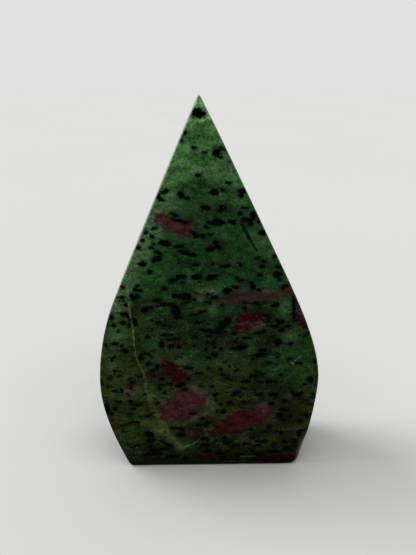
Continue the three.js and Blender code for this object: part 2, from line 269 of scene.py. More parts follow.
# Hornblende grains read off the front face, from the point down
FRONT_GRAINS = cut_by(FRONT, (
    (-3.3, 105.7, 1.25, 1.05), (-1.7, 105.4, 0.6, 0.5), (-2.6, 104.9, 0.8, 0.6, 20),
    (-6.6, 100.5, 0.6, 0.35), (-7.6, 98.7, 0.4, 0.45), (-4.0, 96.7, 0.6, 0.3), (-1.2, 95.5, 0.4, 0.3),
    (1.7, 95.4, 0.85, 1.0, -20), (2.9, 94.3, 0.7, 0.35, -15), (-3.1, 89.7, 0.8, 0.3),
    (5.0, 87.6, 0.6, 0.3), (-12.9, 84.9, 1.1, 0.4, 5), (-11.7, 85.5, 0.6, 0.35), (-7.8, 84.9, 0.7, 0.35),
    (-7.5, 83.9, 0.7, 0.45), (-6.1, 83.5, 0.5, 0.4), (-13.6, 83.7, 0.8, 0.4, -10),
    (-13.0, 83.1, 0.7, 0.35), (1.2, 85.1, 1.1, 0.7), (3.5, 85.6, 0.5, 0.25), (8.7, 85.4, 1.0, 0.6),
    (8.3, 84.1, 0.7, 0.5), (-1.1, 81.0, 1.15, 0.6, 5), (3.3, 81.3, 0.8, 0.3), (3.2, 80.3, 1.0, 0.45, 10),
    (4.2, 80.8, 0.4, 0.5), (9.2, 80.8, 0.7, 0.2), (-9.6, 79.1, 1.0, 0.3, -25),
    (-8.2, 77.3, 2.0, 0.3, -14), (-6.4, 76.8, 0.6, 0.3), (-0.3, 77.0, 0.5, 0.3), (2.0, 76.9, 1.4, 0.85),
    (3.4, 76.8, 0.7, 0.45), (5.9, 77.2, 1.0, 0.3), (6.5, 76.5, 0.7, 0.25), (8.1, 79.2, 0.6, 0.5),
    (11.8, 79.0, 0.9, 0.7, 15), (9.2, 77.9, 0.8, 0.35), (10.9, 77.6, 1.7, 0.4, 8),
    (11.0, 76.4, 0.8, 0.4, 20), (13.4, 77.5, 0.4, 0.8, -20), (-0.9, 75.6, 0.6, 0.3),
    (-15.0, 75.3, 0.7, 0.35), (-17.5, 74.3, 0.7, 0.4), (-15.8, 73.0, 0.7, 0.45, 10),
    (-4.2, 73.8, 0.7, 0.3, -10), (-3.3, 73.2, 0.9, 0.45), (-1.9, 73.1, 0.7, 0.55),
    (0.1, 73.4, 0.65, 0.25), (14.4, 73.8, 0.9, 0.7, -20), (-18.5, 72.0, 0.45, 0.35),
    (-12.5, 71.3, 1.4, 0.75, -5), (-11.3, 70.8, 0.6, 0.5), (-15.4, 70.9, 0.5, 0.35),
    (-19.7, 69.8, 0.65, 0.5), (-15.8, 69.9, 0.7, 0.25), (-8.3, 70.2, 1.3, 0.45, 5),
    (1.6, 71.2, 0.9, 0.4, 5), (2.2, 70.0, 0.9, 0.6), (0.1, 69.4, 1.4, 0.6, 5),
    (-7.1, 68.6, 1.5, 0.5, -15), (-4.9, 67.8, 1.3, 0.5, -4), (-14.3, 68.5, 1.2, 0.4, -20),
    (-14.1, 66.9, 1.0, 0.7), (-15.5, 66.2, 0.6, 0.6), (18.0, 67.2, 0.6, 0.5), (13.3, 66.7, 0.8, 0.35),
    (14.9, 65.8, 0.8, 0.3), (14.6, 64.4, 0.8, 0.4), (-18.5, 65.3, 1.1, 0.65, 10), (0.8, 65.2, 0.5, 0.25),
    (4.4, 64.5, 1.4, 0.4, 8), (-4.0, 64.9, 1.0, 0.3, 15), (8.5, 64.7, 0.4, 0.25), (19.1, 64.1, 0.8, 0.4),
    (-16.6, 62.9, 0.65, 0.45), (-8.0, 61.6, 1.35, 0.6), (-10.2, 60.5, 1.2, 0.5, 5),
    (-3.7, 61.3, 1.5, 0.7), (0.3, 61.3, 1.3, 0.75, 5), (1.9, 61.7, 0.7, 0.4, 10), (7.7, 60.9, 0.6, 0.4),
    (8.7, 60.2, 0.9, 0.3), (14.0, 61.8, 0.75, 0.45), (18.9, 62.0, 1.1, 0.75), (19.5, 60.4, 0.5, 0.4),
    (-24.4, 58.5, 0.7, 0.45, -40), (-20.2, 58.8, 0.6, 0.4), (-20.7, 57.7, 0.6, 0.45),
    (-19.5, 57.5, 0.55, 0.45), (-12.5, 58.2, 0.7, 0.55), (5.0, 57.3, 1.3, 0.8, 10),
    (7.0, 58.2, 1.0, 0.35), (12.2, 58.2, 0.6, 0.75), (11.7, 59.4, 0.35, 0.3), (13.9, 57.4, 0.6, 0.4, 10),
    (21.2, 58.5, 1.1, 0.45, 25), (-20.8, 55.6, 1.1, 0.6), (-22.1, 56.2, 0.6, 0.25),
    (-21.5, 54.9, 0.5, 0.45), (-24.4, 55.5, 0.6, 0.5), (-23.9, 53.2, 0.6, 0.4), (-6.7, 55.5, 1.6, 1.05),
    (-9.3, 55.8, 1.2, 0.6, 10), (-4.4, 54.6, 0.7, 0.3, -10), (1.4, 55.4, 1.0, 0.65),
    (-0.6, 56.0, 0.4, 0.4), (-0.6, 53.8, 0.8, 0.25), (3.6, 52.9, 0.5, 0.25), (9.8, 53.7, 0.6, 0.3),
    (9.7, 52.0, 0.7, 0.3), (13.4, 53.5, 0.9, 0.45), (18.6, 52.9, 1.1, 0.6, 20),
    (-14.8, 54.6, 1.2, 0.4, 8), (-13.0, 53.4, 1.0, 0.4, -10), (-11.2, 53.2, 0.9, 0.35),
    (-9.8, 52.4, 0.9, 0.7), (-17.2, 52.3, 1.2, 0.4, 12), (-18.3, 51.5, 1.1, 0.45, 12),
    (-9.5, 51.0, 1.3, 1.0), (-24.3, 50.5, 1.1, 0.5), (-23.3, 49.7, 0.7, 0.35, -40),
    (-8.8, 49.3, 1.2, 0.35), (-2.9, 50.6, 1.2, 0.25, 25), (-1.7, 51.1, 0.6, 0.2), (-5.0, 50.0, 1.0, 0.2),
    (-27.9, 49.6, 0.75, 0.7), (-21.6, 48.6, 0.9, 0.65), (-21.2, 47.4, 0.7, 0.45),
    (-24.7, 47.8, 0.8, 0.65), (-22.7, 47.1, 0.6, 0.4), (-29.2, 47.4, 0.3, 0.6),
    (-27.4, 47.0, 0.5, 0.4, -50), (-14.8, 47.9, 0.9, 0.4), (-13.1, 47.0, 0.5, 0.4),
    (-3.5, 47.7, 0.6, 0.45), (5.2, 48.5, 1.0, 0.85), (4.0, 47.3, 1.4, 0.85), (3.1, 46.0, 1.2, 0.75),
    (2.8, 44.5, 1.4, 0.35), (-1.2, 45.4, 1.4, 0.35), (-2.8, 45.5, 0.6, 0.35), (0.7, 44.9, 1.2, 0.5, -5),
    (6.8, 44.3, 0.6, 0.6), (16.2, 49.7, 0.7, 0.45), (17.1, 48.6, 0.45, 0.35), (19.5, 48.3, 0.8, 0.3),
    (20.4, 47.6, 1.0, 0.55, 10), (18.9, 46.4, 1.0, 0.4), (22.4, 46.3, 0.6, 0.35),
    (20.7, 45.2, 0.95, 0.5, 10), (15.7, 44.8, 0.55, 0.5), (13.7, 44.3, 1.0, 0.35), (10.7, 42.8, 1.2, 0.3),
    (-17.8, 43.3, 0.7, 0.45), (-13.4, 44.0, 0.9, 0.35), (-11.2, 44.0, 0.8, 0.3), (-12.2, 42.5, 0.6, 0.3),
    (-9.8, 42.7, 1.3, 0.35), (-4.2, 43.4, 0.8, 0.22), (-0.2, 43.4, 0.6, 0.22), (-0.5, 41.6, 0.4, 0.5),
    (1.1, 41.2, 0.45, 1.0, -8), (1.4, 40.0, 0.45, 0.45), (-27.3, 41.3, 0.8, 0.4),
    (-29.8, 40.7, 0.6, 0.25, -45), (-25.2, 40.6, 0.4, 0.3), (-13.8, 40.9, 0.75, 1.0),
    (-11.1, 40.3, 0.9, 0.55), (-9.0, 40.1, 0.8, 0.3), (-4.4, 40.5, 0.4, 0.4), (7.4, 41.6, 0.5, 0.3, -20),
    (19.8, 41.3, 0.9, 1.0), (23.4, 40.8, 0.95, 0.4), (27.6, 43.4, 0.45, 0.6, 15), (28.6, 44.2, 0.6, 0.35),
    (7.0, 39.5, 1.2, 0.5), (9.0, 39.7, 1.3, 0.75), (10.4, 40.0, 0.6, 0.45), (-1.2, 39.4, 0.4, 0.4),
    (3.3, 39.4, 0.4, 0.4), (-24.5, 39.1, 0.9, 0.45, 5), (15.3, 38.8, 1.1, 0.65),
    (14.8, 37.4, 1.8, 0.65, 5), (12.8, 36.2, 0.5, 0.3), (1.3, 37.6, 1.0, 0.6), (-0.2, 36.6, 0.9, 0.3, 10),
    (-18.6, 38.1, 1.2, 0.3), (-17.2, 37.5, 0.6, 0.3, -30), (-20.0, 36.7, 0.75, 0.7),
    (-27.9, 36.9, 0.7, 0.25, 35), (-28.4, 36.2, 0.25, 0.4), (19.9, 36.7, 0.5, 0.3),
    (23.2, 36.0, 0.7, 0.35), (26.0, 34.7, 0.9, 0.3, -8), (30.9, 35.1, 0.4, 0.7), (17.4, 34.9, 0.7, 0.25),
    (-18.1, 34.8, 0.55, 0.7), (-15.1, 34.0, 0.6, 0.7), (-6.2, 33.3, 1.3, 0.4), (-3.1, 31.7, 1.0, 0.3),
    (3.2, 33.0, 0.5, 0.65, -20), (-27.6, 32.6, 0.55, 0.4), (-16.7, 32.7, 0.6, 0.3),
    (14.2, 31.8, 0.9, 0.35, -10), (15.6, 31.2, 0.8, 0.3, -10), (13.0, 30.4, 1.3, 0.5),
    (21.0, 30.9, 0.55, 0.3), (-20.4, 30.7, 0.95, 0.3), (-16.2, 30.9, 0.6, 0.25), (-26.5, 31.1, 0.4, 0.35),
    (-29.5, 30.4, 0.45, 0.4), (4.1, 31.0, 0.7, 0.25, -15), (5.4, 30.0, 0.7, 0.4), (-6.2, 30.0, 0.5, 0.5),
    (-14.0, 29.8, 0.75, 0.5), (-23.4, 30.1, 0.5, 0.3), (-22.7, 28.9, 0.9, 0.3, -8),
    (10.6, 28.8, 1.5, 0.4), (17.6, 28.7, 1.0, 0.55), (19.2, 28.7, 0.8, 0.3, -15), (15.0, 28.6, 1.3, 0.3),
    (29.7, 29.3, 0.95, 0.85, 35), (28.3, 27.7, 0.5, 0.35), (-31.8, 29.2, 0.3, 0.5),
    (-14.3, 28.0, 1.1, 0.35), (-11.8, 28.2, 0.9, 0.4), (-8.0, 28.3, 1.1, 0.45), (-9.0, 27.5, 1.0, 0.45),
    (-30.0, 27.5, 0.5, 0.4, -20), (0.8, 27.3, 0.5, 0.3), (-2.6, 27.5, 0.6, 0.25),
    (10.2, 26.6, 0.8, 0.3, -15), (-28.0, 26.1, 1.0, 0.3, -8), (-25.9, 26.0, 0.35, 0.75),
    (-7.3, 26.3, 0.8, 0.3, 10), (8.1, 25.1, 1.2, 0.6, 15), (7.3, 24.4, 0.8, 0.5), (1.9, 24.6, 0.7, 0.4),
    (15.0, 24.4, 1.2, 0.6), (19.2, 24.3, 1.2, 0.6, -5), (26.0, 24.2, 1.2, 0.65), (24.7, 25.1, 0.45, 0.55),
    (27.5, 24.9, 0.5, 0.45), (-13.3, 25.3, 0.4, 0.3), (-19.1, 24.9, 0.5, 0.25, 10),
    (-27.0, 22.5, 1.0, 0.3), (-23.7, 22.5, 0.8, 0.4), (2.0, 22.6, 0.3, 0.5), (22.7, 22.3, 1.0, 0.5, -10),
    (-15.9, 21.8, 0.9, 0.4, 15), (6.0, 21.6, 0.9, 0.55), (10.6, 22.0, 0.8, 0.3, -10),
    (3.1, 21.4, 0.7, 0.3), (18.6, 21.3, 1.0, 0.5), (-30.7, 21.0, 0.8, 0.6), (-28.2, 20.2, 0.8, 0.55),
    (-21.3, 21.3, 1.0, 0.3, 8), (-22.8, 20.0, 0.6, 0.5), (-30.5, 19.4, 0.6, 0.9),
    (-29.4, 18.5, 0.7, 0.45, -20), (22.4, 19.3, 1.2, 0.45), (-23.8, 18.3, 0.8, 0.3),
    (-17.0, 18.4, 0.5, 0.35, 15), (-18.7, 17.4, 0.8, 0.35, 15), (-14.8, 16.9, 0.6, 0.4),
    (-5.2, 18.3, 1.0, 0.3), (4.2, 18.8, 0.7, 0.8), (2.4, 19.0, 0.35, 0.35), (21.2, 17.3, 1.3, 0.7),
    (29.3, 17.1, 0.6, 0.5), (24.4, 17.0, 0.5, 0.5), (-23.4, 15.4, 1.0, 0.35, 15),
    (-22.0, 15.4, 0.5, 0.35), (-2.2, 16.5, 0.8, 0.3), (-0.6, 15.0, 1.0, 0.4, 10), (-2.6, 14.3, 1.5, 0.4),
    (22.4, 15.8, 1.3, 0.5), (27.6, 15.2, 0.8, 0.4), (18.2, 13.4, 0.8, 0.55, 10), (-11.0, 13.4, 1.0, 0.3),
    (-8.8, 13.2, 1.0, 0.3), (-18.7, 11.4, 1.2, 0.85), (-18.0, 10.7, 0.9, 0.6), (-8.8, 10.8, 1.4, 0.5),
    (16.8, 11.8, 1.2, 0.3), (20.4, 11.7, 0.6, 0.3), (22.0, 11.3, 0.5, 0.35), (27.4, 11.0, 0.7, 1.0, -15),
    (-18.0, 9.0, 1.1, 0.75), (-1.3, 9.4, 1.2, 0.5), (4.6, 9.7, 0.8, 0.5), (5.6, 8.2, 1.2, 1.0),
    (12.9, 9.6, 0.8, 0.35), (-12.6, 7.4, 1.4, 0.4, -20), (-22.1, 7.4, 0.8, 0.45), (-1.4, 7.2, 1.2, 0.45),
    (0.7, 7.7, 0.6, 0.22), (14.6, 8.4, 0.5, 0.3), (16.2, 8.2, 0.7, 0.35), (26.2, 8.2, 0.7, 0.8),
    (23.0, 8.2, 0.6, 0.45), (11.1, 7.5, 1.0, 0.35), (19.8, 7.3, 0.9, 0.28), (14.6, 6.8, 1.0, 0.35),
    (8.0, 7.0, 1.2, 0.28), (-14.6, 5.9, 1.0, 0.35), (-16.8, 5.4, 1.4, 0.7), (-18.3, 4.1, 1.7, 0.45),
    (-18.1, 6.8, 0.6, 0.8), (-15.6, 4.4, 1.1, 0.5), (-0.8, 5.2, 1.4, 0.4), (3.0, 4.2, 1.3, 0.6),
    (3.8, 2.6, 1.0, 0.5), (9.2, 3.8, 1.2, 0.28), (24.2, 5.4, 1.3, 0.5), (20.0, 4.6, 2.2, 0.3),
    (13.2, 5.0, 0.5, 0.35), (14.8, 3.7, 0.8, 0.4), (-12.1, 3.2, 1.0, 0.45), (-10.2, 3.5, 0.8, 0.3),
    (-7.4, 2.5, 0.6, 0.5), (24.0, 51.3, 0.32, 3.4, 4),
), depth_share=0.7)

# The pale vein: a thin sheet through the block that leans back to the right. Each pair is a height and
# the x where the sheet meets the front face there.
VEIN_COURSE = (
    (0.0, -4.0), (6.6, -8.6), (10.0, -10.9), (13.5, -13.2), (18.2, -15.5), (22.8, -17.8), (26.4, -18.9),
    (29.4, -18.9), (32.0, -19.4), (34.8, -20.5), (37.1, -21.4), (40.1, -21.7), (46.5, -21.9),
    (49.9, -22.5), (52.3, -22.9), (57.5, -22.9), (62.0, -23.6), (75.0, -27.0),
)
VEIN_LEAN = 0.55

# Marks on the front face, as two ends, a half width and a strength: scratches and chipped spots,
# then pale partings in and beside the rubies
SCRATCHES = (
    ((-8.0, 6.4), (-2.9, 9.0), 0.42, 0.4), ((23.8, 35.2), (24.9, 34.2), 0.42, 0.4),
    ((25.0, 35.4), (26.7, 36.9), 0.45, 0.5), ((9.6, 3.0), (14.3, 3.1), 0.36, 0.25),
    ((-22.5, 6.8), (-22.2, 6.7), 0.5, 0.6), ((29.0, 33.5), (29.3, 33.6), 0.45, 0.5),
    ((0.5, 57.3), (1.1, 57.3), 0.8, 0.6), ((0.7, 56.1), (2.0, 56.2), 0.6, 0.16),
    ((-22.9, 58.0), (-22.8, 56.0), 0.34, 0.5), ((-22.9, 53.6), (-22.4, 50.0), 0.3, 0.25),
    ((-21.8, 45.7), (-21.7, 45.0), 0.4, 0.45), ((-21.7, 43.2), (-21.7, 42.5), 0.4, 0.35),
    ((-0.9, 22.9), (-0.3, 21.4), 0.8, 0.3), ((5.0, 8.9), (8.6, 8.4), 0.5, 0.1),
)
PARTINGS = (
    ((8.4, 46.9), (10.2, 47.6), 0.8, 0.3), ((10.2, 48.1), (11.6, 47.2), 0.8, 0.4),
    ((11.5, 47.3), (15.0, 47.6), 0.8, 0.34), ((11.5, 45.0), (14.4, 46.3), 0.9, 0.4),
    ((14.4, 46.4), (15.8, 47.2), 0.8, 0.4), ((8.4, 44.9), (10.2, 45.6), 0.9, 0.3),
    ((9.0, 49.9), (11.5, 50.4), 0.6, 0.2), ((-4.0, 54.8), (-2.0, 54.9), 1.1, 0.3),
    ((-13.4, 36.0), (-12.6, 34.6), 0.5, 0.3), ((-9.8, 33.4), (-8.4, 31.8), 0.6, 0.2),
    ((-25.2, 27.4), (-25.1, 25.2), 0.6, 0.3), ((-24.6, 23.9), (-22.6, 23.7), 0.6, 0.2),
    ((-22.2, 27.6), (-21.6, 26.2), 0.7, 0.2), ((15.8, 18.4), (18.0, 19.2), 1.2, 0.15),
    ((25.7, 52.0), (27.0, 47.6), 1.3, 0.22),
)

# The open fissure, as two overlapping cuts, each with its two ends and a half width
FISSURES = (((8.3, 77.1), (10.9, 72.1), 0.42), ((10.4, 73.1), (13.0, 68.7), 0.36))
FISSURE_DEPTH = 0.3

# The bodies that each vertex stores its distance from, and how far that distance is followed
STORED_BODIES = {
    "rose": ROSE_RUBIES, "crimson": CRIMSON_RUBIES, "madder": MADDER_RUBIES, "halo": PALE_HALOES,
    "brown": BROWN_ZONES, "mint": MINT_PATCHES, "clear": CLEAR_PATCHES, "gloom": GLOOMY_ZONES,
}
BODY_REACH = 6.0
GRAIN_REACH = 2.5


class StoneSizes(bpy.types.PropertyGroup):
    """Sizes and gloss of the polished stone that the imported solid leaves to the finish."""

    edge_round: bpy.props.FloatProperty(
        name="Edge round", description="Radius of the polished edge round both faces",
        default=0.9 * MM, min=0.2 * MM, max=2.0 * MM, unit="LENGTH", subtype="DISTANCE",
    )
    grain_size: bpy.props.FloatProperty(
        name="Grain spacing", description="Room that each scattered hornblende grain takes",
        default=2.4 * MM, min=0.5 * MM, max=8.0 * MM, unit="LENGTH", subtype="DISTANCE",
    )
    mottle_size: bpy.props.FloatProperty(
        name="Mottle size", description="Size of the light and dark patches in the green rock",
        default=5.0 * MM, min=1.0 * MM, max=20.0 * MM, unit="LENGTH", subtype="DISTANCE",
    )
    gloss: bpy.props.FloatProperty(
        name="Gloss", description="How sharply the polish reflects, from satin to mirror",
        default=0.78, min=0.0, max=1.0, subtype="FACTOR",
    )


def colour_property(name, description, default):
    """A colour that a user can change."""
    return bpy.props.FloatVectorProperty(
        name=name, description=description, default=default, size=3, min=0.0, max=1.0, subtype="COLOR",
    )


class StoneColours(bpy.types.PropertyGroup):
    """Colours of the minerals, some partly painted light, and of a painted reflection, as linear values."""

    # From foot olive up to tip green, the greens by height are partly the zoisite's own colour and partly
    # painted light, lighter towards the point; foot olive is partly a painted warm reflection
    tip_green: colour_property("Tip green", "Fresh zoisite at the point", (0.145, 0.285, 0.120))
    fresh_green: colour_property("Fresh green", "Bright zoisite of the upper third", (0.064, 0.148, 0.052))
    emerald: colour_property("Emerald", "Zoisite of the middle", (0.024, 0.072, 0.022))
    clear_green: colour_property("Clear green", "Zoisite free of grains", (0.020, 0.062, 0.018))
    sea_green: colour_property("Sea green", "Cooler patches in the zoisite", (0.026, 0.072, 0.033))
    deep_green: colour_property("Deep green", "Zoisite below the middle", (0.016, 0.045, 0.014))
    shade_green: colour_property("Shade green", "Threads, grain rims and the fissure", (0.005, 0.014, 0.006))
    olive_green: colour_property("Olive green", "Yellower patches in the zoisite", (0.032, 0.050, 0.012))
    foot_olive: colour_property("Foot olive", "Zoisite towards the foot", (0.026, 0.033, 0.009))
    mint: colour_property("Mint", "Milky patches in the zoisite", (0.122, 0.196, 0.102))
    frost: colour_property("Frost", "Pale grains in the zoisite", (0.160, 0.220, 0.160))
    brown: colour_property("Brown", "Stained zones", (0.026, 0.018, 0.007))
    pale: colour_property("Pale", "Grey-white rims beside the rubies", (0.122, 0.132, 0.105))
    hornblende: colour_property("Hornblende", "Black grains", (0.0012, 0.0018, 0.0016))
    crimson: colour_property("Crimson", "Deep rubies", (0.036, 0.0012, 0.0058))
    bright_crimson: colour_property("Bright crimson", "Light in the deep rubies", (0.088, 0.012, 0.028))
    madder: colour_property("Madder", "Red rubies of the foot", (0.085, 0.016, 0.022))
    dim_madder: colour_property("Dim madder", "Shade in the red rubies", (0.036, 0.008, 0.009))
    rose: colour_property("Rose", "Dusty rubies", (0.110, 0.036, 0.050))
    dim_rose: colour_property("Dim rose", "Shade in the dusty rubies", (0.052, 0.018, 0.022))
    vein: colour_property("Vein", "Thin pale vein", (0.125, 0.155, 0.070))
    parting: colour_property("Parting", "Pale partings in the rubies", (0.180, 0.105, 0.155))
    scratch: colour_property("Scratch", "Scratches and chipped spots", (0.260, 0.285, 0.250))
    # Painted warm reflection on the wide round above the right foot
    painted_foot_reflection: colour_property("Dull edge", "Less polished round at the right foot", (0.100, 0.088, 0.056))


class StageSettings(bpy.types.PropertyGroup):
    """The plain stage, its light and its camera."""

    floor_colour: colour_property("Floor", "Plain pale floor", (0.66, 0.66, 0.65))
    key_strength: bpy.props.FloatProperty(
        name="Key light", description="Strength of the broad soft light from above the left", default=1.1,
        min=0.0,
    )
    fill_strength: bpy.props.FloatProperty(
        name="Fill light", description="Strength of the soft light from above the front", default=0.25,
        min=0.0,
    )
    world_strength: bpy.props.FloatProperty(
        name="Room light", description="Strength of the even light from all round", default=0.55, min=0.0,
    )
    camera_distance: bpy.props.FloatProperty(
        name="Camera distance", description="From the front face to the camera, level", default=0.159,
        min=0.05, unit="LENGTH", subtype="DISTANCE",
    )
    camera_height: bpy.props.FloatProperty(
        name="Camera height", description="Height of the camera above the floor", default=0.1129,
        min=0.0, unit="LENGTH", subtype="DISTANCE",
    )
    camera_pitch: bpy.props.FloatProperty(
        name="Camera pitch", description="How far the camera looks down", default=math.radians(18.0),
        unit="ROTATION", subtype="ANGLE",
    )


# Outline


def unit(vector):
    """The vector made one long."""
    vector = np.asarray(vector, float)
    return vector / np.linalg.norm(vector)


def bezier(points, start=0.0, end=1.0):
    """Samples of a quadratic or cubic curve between two parameters."""
    t = np.linspace(start, end, CURVE_SAMPLES)[:, None]
    points = [np.asarray(point, float) for point in points]
    while len(points) > 1:
        points = [(1 - t) * first + t * second for first, second in zip(points, points[1:])]
    return points[0]


def flank(foot, foot_lean, foot_cut, widest, shoulder, pulls, base_direction, other_shoulder):
    """One side of the outline, from the end of the flat base up to the blunt point."""
    foot, widest, shoulder, apex, meet = (
        np.asarray(point, float) for point in (foot, widest, shoulder, APEX, FLANKS_MEET)
    )
    foot_up = unit((foot_lean, 1.0))
    down_flank = unit(shoulder - meet)
    bend = meet + down_flank * TIP_TURN
    other_bend = meet + unit(np.asarray(other_shoulder, float) - meet) * TIP_TURN
    corner_end = foot + foot_up * foot_cut
    apex_start = apex + unit(bend - apex) * APEX_CUT
    apex_end = apex + unit(other_bend - apex) * APEX_CUT
    base_end = foot + np.array((base_direction * foot_cut, 0.0))
    waist = widest - np.array((0.0, pulls["waist"]))
    belly = widest + np.array((0.0, pulls["belly"]))
    return np.concatenate((
        bezier((base_end, foot, corner_end))[:-1],
        bezier((corner_end, corner_end + foot_up * pulls["foot"], waist, widest))[:-1],
        bezier((widest, belly, shoulder + down_flank * pulls["shoulder"], shoulder))[:-1],
        bezier((shoulder, shoulder - down_flank * FLANK_PULL, bend, apex_start))[:-1],
        bezier((apex_start, apex, apex_end), 0.0, 0.5),
    ))


def evenly(line, count):
    """A line as count + 1 points, a little closer together at its two ends."""
    steps = np.linalg.norm(np.diff(line, axis=0), axis=1)
    run = np.concatenate(((0.0,), np.cumsum(steps)))
    at_foot = FOOT_CLOSENESS * np.exp(-run / CLOSENESS_REACH)
    at_point = POINT_CLOSENESS * np.exp((run - run[-1]) / CLOSENESS_REACH)
    closeness = 1.0 + at_foot + at_point
    weight = np.concatenate(((0.0,), np.cumsum(steps * (closeness[1:] + closeness[:-1]) / 2)))
    wanted = np.interp(np.linspace(0.0, weight[-1], count + 1), weight, run)
    return np.stack([np.interp(wanted, run, line[:, axis]) for axis in (0, 1)], axis=1)


def outline():
    """Left and right flank, each from the base up to the shared point, twice as fine as the rows."""
    left = flank(
        LEFT_FOOT, LEFT_FOOT_LEAN, LEFT_FOOT_CUT, LEFT_WIDEST, LEFT_SHOULDER, LEFT_PULLS, 1.0, RIGHT_SHOULDER
    )
    right = flank(
        RIGHT_FOOT, RIGHT_FOOT_LEAN, RIGHT_FOOT_CUT, RIGHT_WIDEST, RIGHT_SHOULDER, RIGHT_PULLS, -1.0,
        LEFT_SHOULDER,
    )
    return evenly(left, 2 * ROWS), evenly(right, 2 * ROWS)


def loop_order(columns, rows):
    """Row and column of each outline vertex: along the base, up the right flank, down the left."""
    base = [(0, column) for column in range(columns)]
    right = [(row, columns) for row in range(rows)]
    left = [(row, 0) for row in range(rows, 0, -1)]
    return base + right + left


def outline_loop(left, right):
    """The outline as one closed anticlockwise loop of points."""
    share = np.linspace(0.0, 1.0, 2 * COLUMNS + 1)[:, None]
    base = (1 - share) * left[0] + share * right[0]
    return np.concatenate((base[:-1], right[:-1], left[:0:-1]))


def inward_mitres(loop):
    """The way inwards at each outline point, long enough that both edges beside it move in by one."""
    edge = np.roll(loop, -1, axis=0) - loop
    inward = np.stack((-edge[:, 1], edge[:, 0]), axis=1) / np.linalg.norm(edge, axis=1)[:, None]
    before = np.roll(inward, 1, axis=0)
    middle = before + inward
    middle /= np.linalg.norm(middle, axis=1)[:, None]
    return middle / (middle * inward).sum(axis=1)[:, None]


def edge_rounds(loop, edge_round):
    """The radius of the polished edge at each outline point."""
    reach = np.linalg.norm(loop - np.array(WIDE_ROUND_CENTRE), axis=1) / WIDE_ROUND_REACH
    nearness = np.clip(1 - reach, 0.0, 1.0)
    wide = edge_round + FOOT_ROUND_EXTRA * nearness**2 * (3 - 2 * nearness)
    from_apex = np.linalg.norm(loop - np.array(APEX), axis=1)
    return np.minimum(wide, POINT_ROUND + POINT_ROUND_GROWTH * from_apex)


# Mesh of the stone


def face_grid(inset_loop, columns, rows):
    """The flat of one face as rows and columns between the two flanks, including its outline."""
    right = inset_loop[columns : columns + rows + 1]
    left = np.concatenate((inset_loop[:1], inset_loop[: columns + rows - 1 : -1]))
    across = np.linspace(0.0, 1.0, columns + 1)[None, :, None]
    grid = (1 - across) * left[:, None] + across * right[:, None]
    grid[0] = inset_loop[: columns + 1]
    return grid


def grid_quads(index, flip):
    """Quads of a grid of vertex numbers, with the ones that collapse at the point as triangles."""
    corners = np.stack((index[:-1, :-1], index[:-1, 1:], index[1:, 1:], index[1:, :-1]), axis=-1)
    faces = []
    for a, b, c, d in corners.reshape(-1, 4).tolist():
        corner_list = [a, b, c] if c == d else [a, b, c, d]
        faces.append(corner_list[::-1] if flip else corner_list)
    return faces


def ring_quads(rings):
    """Quads between one closed ring of vertex numbers and the next, from the back to the front."""
    faces = []
    for behind, ahead in zip(rings, rings[1:]):
        turned_behind, turned_ahead = np.roll(behind, -1), np.roll(ahead, -1)
        faces.extend(np.stack((behind, turned_behind, turned_ahead, ahead), axis=1).tolist())
    return faces


def strip_triangles(outer, inner):
    """Triangles from one closed ring of vertex numbers to a ring inside it with twice as many."""
    ahead = np.roll(outer, -1)
    first, middle, last = inner[::2], inner[1::2], np.roll(inner[::2], -1)
    corners = ((outer, ahead, middle), (outer, middle, first), (ahead, last, middle))
    return np.concatenate([np.stack(three, axis=1) for three in corners]).tolist()


class Shape:
    """Vertices and faces that grow as parts of the surface are added."""

    def __init__(self):
        self.points = []
        self.faces = []
        self.count = 0

    def add(self, flat, depth):
        """Adds points, from their x and z and their y, and gives back their numbers."""
        rows = np.empty((len(flat), 3))
        rows[:, 0], rows[:, 1], rows[:, 2] = flat[:, 0], np.ravel(depth), flat[:, 1]
        self.points.append(rows)
        self.count += len(rows)
        return np.arange(self.count - len(rows), self.count)

    def add_face(self, inset_loop, depth, columns, rows, flip):
        """Adds the flat of one face and gives back the numbers of its outline."""
        grid = face_grid(inset_loop, columns, rows)
        index = np.empty((rows + 1, columns + 1), int)
        inner = grid[1:rows, 1:columns].reshape(-1, 2)
        index[1:rows, 1:columns] = self.add(inner, depth).reshape(rows - 1, columns - 1)
        ring = self.add(inset_loop, depth)
        for number, (row, column) in zip(ring.tolist(), loop_order(columns, rows)):
            index[row, column] = number
        index[rows, :] = index[rows, 0]
        self.faces.extend(grid_quads(index, flip))
        return ring


def stone_shape(edge_round):
    """Vertices in millimetres and faces of the polished slab, finer over the front face."""
    fine_loop = outline_loop(*outline())
    fine_mitres = inward_mitres(fine_loop)
    fine_rounds = edge_rounds(fine_loop, edge_round)
    loop, mitres, rounds = fine_loop[::2], fine_mitres[::2], fine_rounds[::2, None]
    shape = Shape()

    def edge_ring(side, step):
        angle = math.pi / 2 * step / ROUND_SEGMENTS
        flat = loop + mitres * rounds * (1 - math.cos(angle))
        return shape.add(flat, side * (BACK - rounds * (1 - math.sin(angle))))

    rings = [shape.add_face(loop + mitres * rounds, BACK, COLUMNS, ROWS, True)]
    rings += [edge_ring(1.0, step) for step in range(ROUND_SEGMENTS - 1, -1, -1)]
    for step in range(1, SIDE_SEGMENTS):
        rings.append(shape.add(loop, (BACK - rounds) * (1 - 2 * step / SIDE_SEGMENTS)))
    rings += [edge_ring(-1.0, step) for step in range(ROUND_SEGMENTS + 1)]
    shape.faces.extend(ring_quads(rings))

    from_apex = np.linalg.norm(fine_loop - np.array(APEX), axis=1)
    strip = np.minimum(STRIP, POINT_STRIP + POINT_STRIP_GROWTH * from_apex)
    fine_inset = fine_loop + fine_mitres * (fine_rounds + strip)[:, None]
    inner_ring = shape.add_face(fine_inset, FRONT, 2 * COLUMNS, 2 * ROWS, False)
    shape.faces.extend(strip_triangles(rings[-1], inner_ring))
    return np.concatenate(shape.points), shape.faces


# Bodies in the rock


